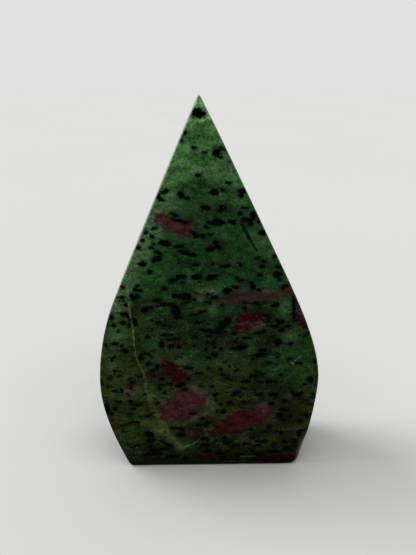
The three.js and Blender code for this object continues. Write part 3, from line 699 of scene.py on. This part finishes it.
def distance_to_body(points, body):
    """Roughly how far points lie outside an ellipsoid tilted in the plane of the face, negative inside."""
    turn = math.radians(body.tilt)
    right, back, up = points[:, 0] - body.x, points[:, 1] - body.y, points[:, 2] - body.z
    along = right * math.cos(turn) + up * math.sin(turn)
    across = up * math.cos(turn) - right * math.sin(turn)
    halves = np.array((body.length, body.depth, body.height))
    scaled = np.stack((along, back, across), axis=1) / halves
    near = np.linalg.norm(scaled, axis=1)
    steep = np.linalg.norm(scaled / halves, axis=1)
    return near * (near - 1) / np.maximum(steep, 1e-9)


def distance_to_nearest(points, bodies, limit):
    """How far each point is from the nearest body, negative inside it, up to a limit."""
    order = np.argsort(points[:, 2])
    ordered = points[order]
    heights = ordered[:, 2]
    nearest = np.full(len(points), limit)
    for body in bodies:
        reach = max(body.length, body.height) + limit
        first, last = np.searchsorted(heights, (body.z - reach, body.z + reach))
        found = distance_to_body(ordered[first:last], body)
        nearest[first:last] = np.minimum(nearest[first:last], found)
    result = np.empty(len(points))
    result[order] = nearest
    return result


def distance_to_line(points, start, end):
    """Distance of points from a straight line between two places on the front face."""
    start, end = np.array(start), np.array(end)
    run = end - start
    flat = points[:, (0, 2)]
    share = np.clip(((flat - start) @ run) / (run @ run), 0.0, 1.0)
    gap = np.linalg.norm(flat - start - share[:, None] * run, axis=1)
    return np.hypot(gap, points[:, 1] - FRONT)


def vein_offset(points):
    """Sideways distance of points from the vein's sheet, negative on its left."""
    heights, places = zip(*VEIN_COURSE)
    course = np.interp(points[:, 2], heights, places)
    return points[:, 0] - course - VEIN_LEAN * (points[:, 1] - FRONT)


def side_share(points):
    """How far each point is towards a flank, from -1 at the left one to 1 at the right one."""
    left, right = outline()
    to_left = np.interp(points[:, 2], left[:, 1], left[:, 0])
    to_right = np.interp(points[:, 2], right[:, 1], right[:, 0])
    middle, half = (to_left + to_right) / 2, np.maximum((to_right - to_left) / 2, LEAST_HALF_WIDTH)
    return np.clip((points[:, 0] - middle) / half, -1.0, 1.0)


def smooth_noise(points, random, size):
    """A soft random height field, between about -1 and 1, from a few crossing waves."""
    total = np.zeros(len(points))
    for _ in range(WANDER_WAVES):
        direction = unit(random.normal(size=3)) * (2 * math.pi / size) * random.uniform(0.6, 1.4)
        total += np.sin(points @ direction + random.uniform(0.0, 2 * math.pi))
    return total / math.sqrt(WANDER_WAVES) / 1.6


def worn(points, random):
    """The points pressed in a little, where the polish wandered and where the fissure stayed open."""
    inwards = WANDER * (0.5 + 0.5 * np.clip(smooth_noise(points, random, WANDER_SIZE), -1.0, 1.0))
    faceness = np.clip((np.abs(points[:, 1]) - (BACK - FACE_SKIN)) / FACE_SKIN, 0.0, 1.0)
    moved = points.copy()
    moved[:, 1] -= np.sign(points[:, 1]) * inwards * faceness
    for start, end, half_width in FISSURES:
        gap = distance_to_line(points, start, end) / (2 * half_width)
        moved[:, 1] += FISSURE_DEPTH * np.clip(1 - gap, 0.0, 1.0) ** 2
    return moved


def store(mesh, name, values):
    """Keeps one number for each vertex on the mesh, for the material to read."""
    attribute = mesh.attributes.new(name, "FLOAT", "POINT")
    attribute.data.foreach_set("value", np.asarray(values, np.float32))


# Material


class Field:
    """One output of a shader node, with the arithmetic that the materials use."""

    def __init__(self, shader, socket):
        self.shader = shader
        self.socket = socket

    def __add__(self, other):
        return self.shader.math("ADD", self, other)

    __radd__ = __add__

    def __sub__(self, other):
        return self.shader.math("SUBTRACT", self, other)

    def __rsub__(self, other):
        return self.shader.math("SUBTRACT", other, self)

    def __mul__(self, other):
        return self.shader.math("MULTIPLY", self, other)

    __rmul__ = __mul__

    def __truediv__(self, other):
        return self.shader.math("DIVIDE", self, other)

    def __rtruediv__(self, other):
        return self.shader.math("DIVIDE", other, self)

    def __abs__(self):
        return self.shader.math("ABSOLUTE", self)


class Shader:
    """A material's nodes, made from expressions."""

    def __init__(self, name):
        self.material = bpy.data.materials.new(name)
        self.material.use_nodes = True
        self.tree = self.material.node_tree
        self.tree.nodes.clear()

    def feed(self, socket, value):
        """Links a field to a socket, or sets the socket's own value."""
        if isinstance(value, Field):
            self.tree.links.new(value.socket, socket)
        elif socket.type == "RGBA" and len(value) == 3:
            socket.default_value = (*value, 1.0)
        else:
            socket.default_value = value

    def node(self, kind, settings=None, values=None, output=0):
        """A node of that type: its settings first, then what its sockets take."""
        made = self.tree.nodes.new(kind)
        for name, value in (settings or {}).items():
            if name == "stops":
                self.set_stops(made.color_ramp, value)
            else:
                setattr(made, name, value)
        for name, value in (values or {}).items():
            self.feed(made.inputs[name], value)
        return Field(self, made.outputs[output]) if made.outputs else None

    def fields(self, kind, settings=None, values=None):
        """Every output of a node of that type."""
        first = self.node(kind, settings, values)
        return [Field(self, socket) for socket in first.socket.node.outputs]

    def set_stops(self, ramp, stops):
        """Gives a colour ramp its places and colours."""
        while len(ramp.elements) < len(stops):
            ramp.elements.new(0.5)
        for element, (place, colour) in zip(ramp.elements, stops):
            element.position = place
            element.color = (*colour, 1.0)

    def math(self, operation, first, second=None):
        """Arithmetic on one or two numbers."""
        values = {0: first} if second is None else {0: first, 1: second}
        return self.node("ShaderNodeMath", {"operation": operation}, values)

    def mix(self, factor, first, second):
        """A colour that goes from first to second as factor goes from 0 to 1."""
        return self.node(
            "ShaderNodeMix", {"data_type": "RGBA"}, {0: factor, 6: first, 7: second}, output=2
        )

    def scale(self, colour, amount):
        """A colour or a place times a number."""
        return self.node("ShaderNodeVectorMath", {"operation": "SCALE"}, {0: colour, "Scale": amount})

    def stored(self, name):
        """A number that each vertex keeps."""
        return self.node("ShaderNodeAttribute", {"attribute_name": name}, output=2)

    def slope(self, value, start, end, to_start=0.0, to_end=1.0):
        """A value carried smoothly from one range to another, and held at its ends."""
        return self.node(
            "ShaderNodeMapRange",
            {"interpolation_type": "SMOOTHSTEP"},
            {"Value": value, "From Min": start, "From Max": end, "To Min": to_start, "To Max": to_end},
        )

    def noise(self, place, size, detail=2.0, roughness=0.5):
        """Soft random values, centred on nothing, with features of that size."""
        value = self.node(
            "ShaderNodeTexNoise",
            {"noise_dimensions": "3D"},
            {"Vector": place, "Scale": 1.0 / size, "Detail": detail, "Roughness": roughness},
        )
        return value - 0.5

    def specks(self, place, size, fullness):
        """Roughly how far a place is outside a scatter of specks, one to a cell of that size at most."""
        distance, random_colour, *_ = self.fields(
            "ShaderNodeTexVoronoi", {"feature": "F1"}, {"Vector": place, "Scale": 1.0 / size}
        )
        chance, *_ = self.fields("ShaderNodeSeparateColor", values={0: random_colour})
        return (distance - self.slope(chance, 0.2, 1.0, -0.1, fullness)) * size

    def stirred(self, place, size, amount):
        """A place pushed about by soft noise, so that an even texture turns uneven."""
        push = self.node("ShaderNodeTexNoise", values={"Vector": place, "Scale": 1.0 / size}, output=1)
        return self.node(
            "ShaderNodeVectorMath", {"operation": "MULTIPLY_ADD"}, {0: push, 1: (amount,) * 3, 2: place}
        )

    def stretched(self, place, factors):
        """A place squeezed along the axes, so that a texture looks drawn out."""
        return self.node("ShaderNodeVectorMath", {"operation": "MULTIPLY"}, {0: place, 1: factors})


def line_mask(shader, across, up, start, end, half_width):
    """One along a short straight line on the front face, fading to nothing beside it."""
    run = np.array(end) - np.array(start)
    half_length = float(np.linalg.norm(run) / 2)
    cosine, sine = unit(run).tolist()
    middle = ((np.array(start) + np.array(end)) / 2).tolist()
    right, rise = across - middle[0], up - middle[1]
    along = abs(right * cosine + rise * sine)
    aside = abs(rise * cosine - right * sine)
    return shader.slope(aside, half_width, 0.0) * shader.slope(along, half_length + 0.3, half_length - 0.2)


# What the minerals share: a place in the stone and its x, y and z, how far it is towards a flank, below
# the front face and up in the point, and random fields from broad to fine
Ground = namedtuple("Ground", "place across depth up side inside point broad patch ragged fine")


def ground_of(shader, sizes):
    """The places and random fields that the minerals share."""
    place = shader.scale(shader.node("ShaderNodeTexCoord", output="Object"), 1.0 / MM)
    across, depth, up = shader.fields("ShaderNodeSeparateXYZ", values={0: place})
    banded = shader.stretched(place, (1.0, 1.0, 1.7))
    return Ground(
        place, across, depth, up,
        side=shader.stored("side"),
        inside=shader.slope(depth, FRONT + 1.0, FRONT + 5.0),
        point=shader.slope(up, 80.0, 94.0),
        broad=shader.noise(banded, sizes.mottle_size / MM, 3.0, 0.55),
        patch=shader.noise(banded, 2.0, 3.0, 0.6),
        ragged=shader.noise(banded, 1.2, 4.0, 0.65),
        fine=shader.noise(place, 0.6, 3.0, 0.65),
    )


def green_rock(shader, ground, sizes, colours):
    """Zoisite, lighter towards the point partly by its own colour and partly by painted light, lighter on
    the left flank by painted light, and how free of grains each place is.
    """
    slope, mix = shader.slope, shader.mix
    up, side, point = ground.up, ground.side, ground.point
    broad, patch, fine = ground.broad, ground.patch, ground.fine
    # Colour by height, partly the zoisite's own and partly painted light: the point is painted lighter, and
    # the olive of the foot is partly a painted warm reflection
    green = shader.node(
        "ShaderNodeValToRGB",
        {"stops": (
            (0.06, colours.foot_olive), (0.15, colours.olive_green), (0.33, colours.olive_green),
            (0.45, colours.deep_green), (0.60, colours.emerald), (0.75, colours.emerald),
            (0.86, colours.fresh_green), (0.94, colours.fresh_green), (0.99, colours.tip_green),
        )},
        {0: up / TOP + broad * 0.25},
    )
    hue = shader.noise(ground.place, sizes.mottle_size / MM * 2.2)
    cool = slope(hue, -0.02, 0.13, 0.0, 0.45) * slope(up, 92.0, 78.0) * slope(up, 22.0, 40.0)
    green = mix(cool, green, colours.sea_green)
    warm = slope(hue, -0.02, -0.13, 0.0, 0.5) * slope(up, 75.0, 50.0) * slope(side, 0.4, -0.4, 0.35, 1.0)
    green = mix(warm, green, colours.olive_green)
    clear = slope(shader.stored("clear") + patch * 8.0 + broad * 6.0, 2.6, -2.6, 0.0, 0.75)
    green = mix(clear, green, colours.clear_green)

    # Painted light and shade over the whole face: lighter towards the left flank, the lower left and the
    # right edge, darker on the right of the point; beside it the rock's own mottling, and darker in the
    # gloomy zones
    painted_left_light = slope(side, -0.25, -1.0, 0.0, 0.55) * slope(up, 28.0, 52.0, 0.25, 1.0)
    painted_left_light = painted_left_light * slope(up, 104.0, 88.0)
    painted_side_light = (1.0 + painted_left_light) * slope(side, 0.5, 0.95, 1.0, 1.16)
    painted_low_left_light = slope(side, 0.0, -0.5, 1.0, 1.2) * slope(up, 36.0, 26.0) + slope(up, 26.0, 36.0)
    gloom = slope(shader.stored("gloom") + patch * 8.0 + broad * 6.0, 3.0, -3.0, 1.0, 0.62)
    shade = 1.0 + broad * (1.4 + point * 0.8) + patch * (1.2 + point * 0.9) + fine * (1.8 + point * 0.7)
    # Painted shade: the right of the point darker
    shade = shade - point * slope(side, -0.2, 0.8, 0.02, 0.12)
    green = shader.scale(green, shade * painted_side_light * painted_low_left_light * gloom)

    # Milky patches, pale crystals and dark threads; the milky patches spread paler over the left flank as
    # painted light
    painted_flank_light = slope(side, -0.5, -1.0) * slope(up, 40.0, 56.0) * slope(up, 94.0, 78.0)
    milky = shader.stored("mint") + fine * 3.0 + patch * 5.0 + broad * 4.0 - painted_flank_light * 5.2
    milk = shader.scale(colours.mint, 1.0 + patch * 1.5 + fine * 2.0 + ground.ragged * 1.5)
    green = mix(slope(milky, 1.6, -3.0, 0.0, 0.66), green, milk)
    salt = shader.noise(ground.place, 0.5, 2.0, 0.6)
    crystals = slope(salt + broad * 0.35 + patch * 0.3 + point * 0.05, 0.05, 0.24, 0.0, 0.4)
    green = mix(crystals, green, colours.frost)
    foliation = shader.noise(shader.stretched(ground.place, (0.5, 0.5, 1.4)), 1.1, 4.0, 0.68)
    dusky = slope(foliation + patch * 0.5, 0.06, 0.2, 0.0, 0.6) * slope(up, 88.0, 70.0)
    return mix(dusky, green, colours.shade_green), clear


def with_rubies(shader, ground, colours, rock):
    """The rock with its stains, haloes and rubies, feathered and mottled, and where the rubies are."""
    slope, mix = shader.slope, shader.mix
    broad, patch, ragged, fine = ground.broad, ground.patch, ground.ragged, ground.fine
    stained = shader.stored("brown") + ragged * 3.0 + patch * 5.0
    rock = mix(slope(stained, 1.6, -2.0, 0.0, 0.8), rock, colours.brown)
    veil = fine * 1.8 + ragged * 2.8 + patch * 2.8 + (patch * 3.0 + broad * 7.0) * ground.inside
    dusty = slope(shader.stored("rose") + veil, 1.9, 0.0, 0.0, 0.4)
    rock = mix(dusty, rock, colours.dim_rose)
    feathery = shader.stored("halo") + fine * 5.0 + ragged * 3.0
    rock = mix(slope(feathery, 0.9, -1.5, 0.0, 0.58), rock, colours.pale)

    mottle = patch * 2.0 + ragged * 1.8 + fine * 1.6
    ruby = 0.0
    for name, dim, bright, bright_from, bright_to, hold in (
        ("madder", colours.dim_madder, colours.madder, -0.3, 0.35, 0.95),
        ("rose", colours.dim_rose, colours.rose, -0.3, 0.3, 0.9),
        ("crimson", colours.crimson, colours.bright_crimson, -0.05, 0.5, 0.96),
    ):
        edge = slope(shader.stored(name) + veil, 0.8, -0.8, 0.0, hold)
        rock = mix(edge, rock, mix(slope(mottle, bright_from, bright_to), dim, bright))
        ruby = edge + ruby
    return rock, ruby


def with_hornblende(shader, ground, sizes, colours, rock, ruby, clear):
    """The rock with its black grains and their dark green rims, and how black each place is."""
    slope, up, broad = shader.slope, ground.up, ground.broad
    crowding = slope(up, 98.0, 80.0, 0.0, 0.34) + broad * 2.0 + ground.patch * 0.8
    stirred = shader.stirred(ground.place, 3.0, 2.0)
    spacing = sizes.grain_size / MM
    large = shader.specks(shader.stretched(stirred, (0.8, 0.8, 1.6)), spacing, crowding)
    small = shader.specks(shader.stretched(stirred, (0.7, 0.7, 1.8)), spacing * 0.55, crowding - 0.14)
    scattered = shader.math("MINIMUM", large, small)
    scattered = scattered + slope(ground.depth, FRONT + 2.2, FRONT + 1.0, 0.0, 3.0)
    nearest = shader.math("MINIMUM", shader.stored("grain"), scattered + ruby * 2.0)
    grain_edge = nearest + ground.ragged * (1.2 - ground.point * 0.6) + ground.fine
    rock = shader.mix(slope(grain_edge, 0.8, 0.15, 0.0, 0.45), rock, colours.shade_green)
    smudge = shader.noise(shader.stretched(ground.place, (0.6, 0.6, 1.2)), 1.7, 4.0, 0.66)
    smudged = smudge + broad * 0.25 - ruby * 0.13 - clear * 0.06
    sooty = slope(smudged, 0.06, 0.17) * slope(up - ground.inside * 4.0, 80.0, 50.0, 0.0, 0.85)
    black = shader.math("MAXIMUM", slope(grain_edge, 0.24, -0.04), sooty)
    return shader.mix(black, rock, colours.hornblende), black


def with_vein(shader, ground, colours, rock):
    """The rock with its vein, a hairline above and a soft band near the foot."""
    slope, up, inside, ragged = shader.slope, ground.up, ground.inside, ground.ragged
    from_vein = shader.stored("vein") + ground.patch * 1.3 + ragged * 0.6
    hairline = slope(abs(from_vein), slope(up, 40.0, 12.0, 0.34, 0.8), 0.0)
    hairline = hairline * slope(up, 14.0, 40.0, 0.3, 1.0) * (1.0 - inside * slope(ground.broad, 0.04, -0.06))
    broken = slope(ragged + ground.patch * 1.2, -0.14, 0.12, 0.35, 0.95)
    hairline = hairline * broken * slope(up, 4.0, 7.0) * slope(up, 60.0, 57.0)
    rock = shader.mix(hairline, rock, colours.vein)
    from_band = from_vein + slope(up, 22.0, 12.0, 0.0, 0.8)
    band = slope(abs(from_band), slope(up, 30.0, 12.0, 0.9, 2.4), 0.0)
    band = band * slope(up, 34.0, 12.0) * slope(up, 4.0, 8.0) * (1.0 - inside * 0.6)
    return shader.mix(band * slope(ground.fine + ragged, -0.15, 0.2, 0.2, 0.65), rock, colours.vein)


def with_marks(shader, ground, colours, rock):
    """The rock with its partings, scratches and fissure, and how open the fissure is at each place."""
    on_front = shader.slope(ground.depth, FRONT + 1.2, FRONT + 0.7)
    flaky = shader.slope(ground.fine + ground.ragged, -0.15, 0.12, 0.35, 1.0)
    shaken_across = ground.across + ground.ragged * 0.8
    shaken_up = ground.up + ground.patch * 0.8
    for marks, colour in ((PARTINGS, colours.parting), (SCRATCHES, colours.scratch)):
        for start, end, half_width, strength in marks:
            mark = line_mask(shader, shaken_across, shaken_up, start, end, half_width)
            rock = shader.mix(mark * on_front * flaky * strength, rock, colour)
    open_crack = 0.0
    for start, end, half_width in FISSURES:
        mark = line_mask(shader, shaken_across, ground.up, start, end, half_width * 1.6)
        opened = shader.slope(mark, 0.0, 0.6) * on_front
        rock = shader.mix(opened * 0.85, rock, colours.shade_green)
        open_crack = opened + open_crack
    return rock, open_crack


def with_foot_reflection(shader, ground, colours, rock):
    """The rock with a painted warm reflection on the wide round above the right foot."""
    slope, depth, up = shader.slope, ground.depth, ground.up
    off_face = slope(depth, FRONT + 0.01, FRONT + 0.22) * slope(depth, FRONT + 2.6, FRONT + 1.8)
    reflecting_round = off_face * slope(ground.across, 24.5, 26.5) * slope(up, 0.5, 2.5) * slope(up, 12.5, 8.0)
    uneven = slope(ground.patch + ground.ragged, -0.3, 0.2, 0.5, 0.9)
    return shader.mix(reflecting_round * uneven, rock, colours.painted_foot_reflection)


def stone_material(sizes, colours):
    """Polished ruby in zoisite, glossier on its rounded edges than on its flat faces and its sides."""
    shader = Shader("polished_ruby_in_zoisite")
    slope = shader.slope
    ground = ground_of(shader, sizes)
    depth = ground.depth
    rock, clear = green_rock(shader, ground, sizes, colours)
    rock, ruby = with_rubies(shader, ground, colours, rock)
    rock, black = with_hornblende(shader, ground, sizes, colours, rock, ruby, clear)
    # Painted shade: the rock darker towards the foot
    painted_foot_shade = slope(ground.up, 0.0, 9.0, 0.45, 1.0)
    rock = shader.scale(rock, painted_foot_shade)
    rock = with_vein(shader, ground, colours, rock)
    rock, open_crack = with_marks(shader, ground, colours, rock)
    # Painted warm reflection on the wide round above the right foot
    rock = with_foot_reflection(shader, ground, colours, rock)

    roughness = 1.0 - sizes.gloss + black * 0.1 + ground.fine * 0.12
    relief = shader.node("ShaderNodeBump", values={
        "Strength": RELIEF_STRENGTH, "Distance": RELIEF_HEIGHT, "Height": ground.fine + black * -0.3,
    })
    rounded = slope(depth, FRONT + 2.0, FRONT + 0.9) + slope(depth, BACK - 2.0, BACK - 0.9)
    off_flat = slope(depth, FRONT + 0.1, FRONT + 0.4) * slope(depth, BACK - 0.1, BACK - 0.4)
    gloss = off_flat * (SIDE_COAT + rounded * (1.0 - SIDE_COAT)) * (1.0 - slope(open_crack, 0.0, 0.3))
    surface = shader.node("ShaderNodeBsdfPrincipled", values={
        "Base Color": rock, "Roughness": roughness, "Normal": relief,
        "IOR": STONE_IOR, "Specular IOR Level": FACE_SHINE,
        "Coat Weight": gloss, "Coat Roughness": COAT_ROUGHNESS, "Coat IOR": COAT_IOR,
    })
    shader.node("ShaderNodeOutputMaterial", values={0: surface})
    return shader.material


def floor_material(colour):
    """Plain pale floor with the faintest unevenness."""
    shader = Shader("pale_floor")
    place = shader.node("ShaderNodeTexCoord", output="Object")
    cloud = shader.noise(place, 0.4)
    surface = shader.node("ShaderNodeBsdfPrincipled", values={
        "Base Color": shader.scale(colour, 1.0 + cloud * 0.04), "Roughness": 1.0, "Specular IOR Level": 0.0,
    })
    shader.node("ShaderNodeOutputMaterial", values={0: surface})
    return shader.material


# Operators


class STONE_OT_polished_stone(bpy.types.Operator):
    """Makes the polished slab with everything that shows in its rock"""

    bl_idname = "stone.polished_stone"
    bl_label = "Polished Stone"

    def execute(self, context):
        sizes, colours = context.scene.stone_sizes, context.scene.stone_colours
        random = np.random.default_rng(WANDER_SEED)
        points, faces = stone_shape(sizes.edge_round / MM)
        shown = worn(points, random)

        mesh = bpy.data.meshes.new("polished_slab")
        mesh.from_pydata((shown * MM).tolist(), [], faces)
        if mesh.validate():
            raise RuntimeError("The slab's mesh came out broken")
        mesh.shade_smooth()
        store(mesh, "grain", distance_to_nearest(points, FRONT_GRAINS, GRAIN_REACH))
        for name, bodies in STORED_BODIES.items():
            store(mesh, name, distance_to_nearest(points, bodies, BODY_REACH))
        store(mesh, "vein", vein_offset(points))
        store(mesh, "side", side_share(points))
        mesh.materials.append(stone_material(sizes, colours))

        stone = bpy.data.objects.new("polished_slab", mesh)
        context.scene.collection.objects.link(stone)
        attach(stone, "root")
        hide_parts(NODE)
        return {"FINISHED"}


class STONE_OT_stage(bpy.types.Operator):
    """Makes the plain floor, the soft lights and the camera"""

    bl_idname = "stone.stage"
    bl_label = "Studio Stage"

    def execute(self, context):
        settings = context.scene.stone_stage
        self.make_floor(context, settings)
        self.make_world(context, settings)
        self.make_light(context, "key", settings.key_strength, KEY_SPREAD, KEY_PLACE)
        self.make_light(context, "fill", settings.fill_strength, FILL_SPREAD, FILL_PLACE)
        self.make_camera(context, settings)
        return {"FINISHED"}

    def make_floor(self, context, settings):
        """A broad plain floor just under the stone."""
        mesh = bpy.data.meshes.new("floor")
        corners = [(x * FLOOR_REACH, y * FLOOR_REACH, 0.0) for x, y in ((-1, -1), (1, -1), (1, 1), (-1, 1))]
        mesh.from_pydata(corners, [], [(0, 1, 2, 3)])
        mesh.materials.append(floor_material(settings.floor_colour))
        floor = bpy.data.objects.new("floor", mesh)
        floor.location.z = -FLOOR_DROP
        context.scene.collection.objects.link(floor)

    def make_world(self, context, settings):
        """Even light from all round."""
        world = bpy.data.worlds.new("studio")
        world.use_nodes = True
        background = world.node_tree.nodes.get("Background")
        if background is None:
            raise RuntimeError("The studio world has no background to light the stone with")
        background.inputs["Color"].default_value = (1.0, 1.0, 1.0, 1.0)
        background.inputs["Strength"].default_value = settings.world_strength
        context.scene.world = world

    def make_light(self, context, name, strength, spread, place):
        """A soft light that shines on the stone from its place."""
        light = bpy.data.lights.new(name, "SUN")
        light.energy = strength
        light.angle = spread
        lamp = bpy.data.objects.new(name, light)
        lamp.location = place
        lamp.rotation_euler = (-lamp.location).to_track_quat("-Z", "Y").to_euler()
        context.scene.collection.objects.link(lamp)

    def make_camera(self, context, settings):
        """The camera, standing to the stone as the photograph's did."""
        camera = bpy.data.cameras.new("camera")
        camera.sensor_width = SENSOR_WIDTH
        camera.lens = camera.sensor_width * FOCAL_PIXELS / PHOTO_HEIGHT
        camera.clip_start = CLIP_START
        holder = bpy.data.objects.new("camera", camera)
        holder.location = (CAMERA_SIDESTEP, LOW.y - settings.camera_distance, settings.camera_height)
        holder.rotation_euler = (math.pi / 2 - settings.camera_pitch, 0.0, -CAMERA_YAW)
        context.scene.collection.objects.link(holder)
        context.scene.camera = holder
        context.scene.view_settings.view_transform = "Standard"
        context.scene.view_settings.look = "High Contrast"


class STONE_PT_sidebar(bpy.types.Panel):
    """Lists the operators with the values that they use"""

    bl_label = "Ruby in Zoisite"
    bl_idname = "STONE_PT_sidebar"
    bl_space_type = "VIEW_3D"
    bl_region_type = "UI"
    bl_category = "Stone"

    def draw(self, context):
        layout = self.layout
        for operator, group in (
            (STONE_OT_polished_stone, context.scene.stone_sizes),
            (None, context.scene.stone_colours),
            (STONE_OT_stage, context.scene.stone_stage),
        ):
            box = layout.box()
            if operator:
                box.operator(operator.bl_idname)
            for name in group.__annotations__:
                box.prop(group, name)


GROUPS = {"stone_sizes": StoneSizes, "stone_colours": StoneColours, "stone_stage": StageSettings}
CLASSES = (*GROUPS.values(), STONE_OT_polished_stone, STONE_OT_stage, STONE_PT_sidebar)


def register():
    for cls in CLASSES:
        bpy.utils.register_class(cls)
    for name, group in GROUPS.items():
        setattr(bpy.types.Scene, name, bpy.props.PointerProperty(type=group))


def unregister():
    for name in GROUPS:
        delattr(bpy.types.Scene, name)
    for cls in reversed(CLASSES):
        bpy.utils.unregister_class(cls)


def main():
    register()
    bpy.ops.stone.stage()
    bpy.ops.stone.polished_stone()


if __name__ == "__main__":
    main()
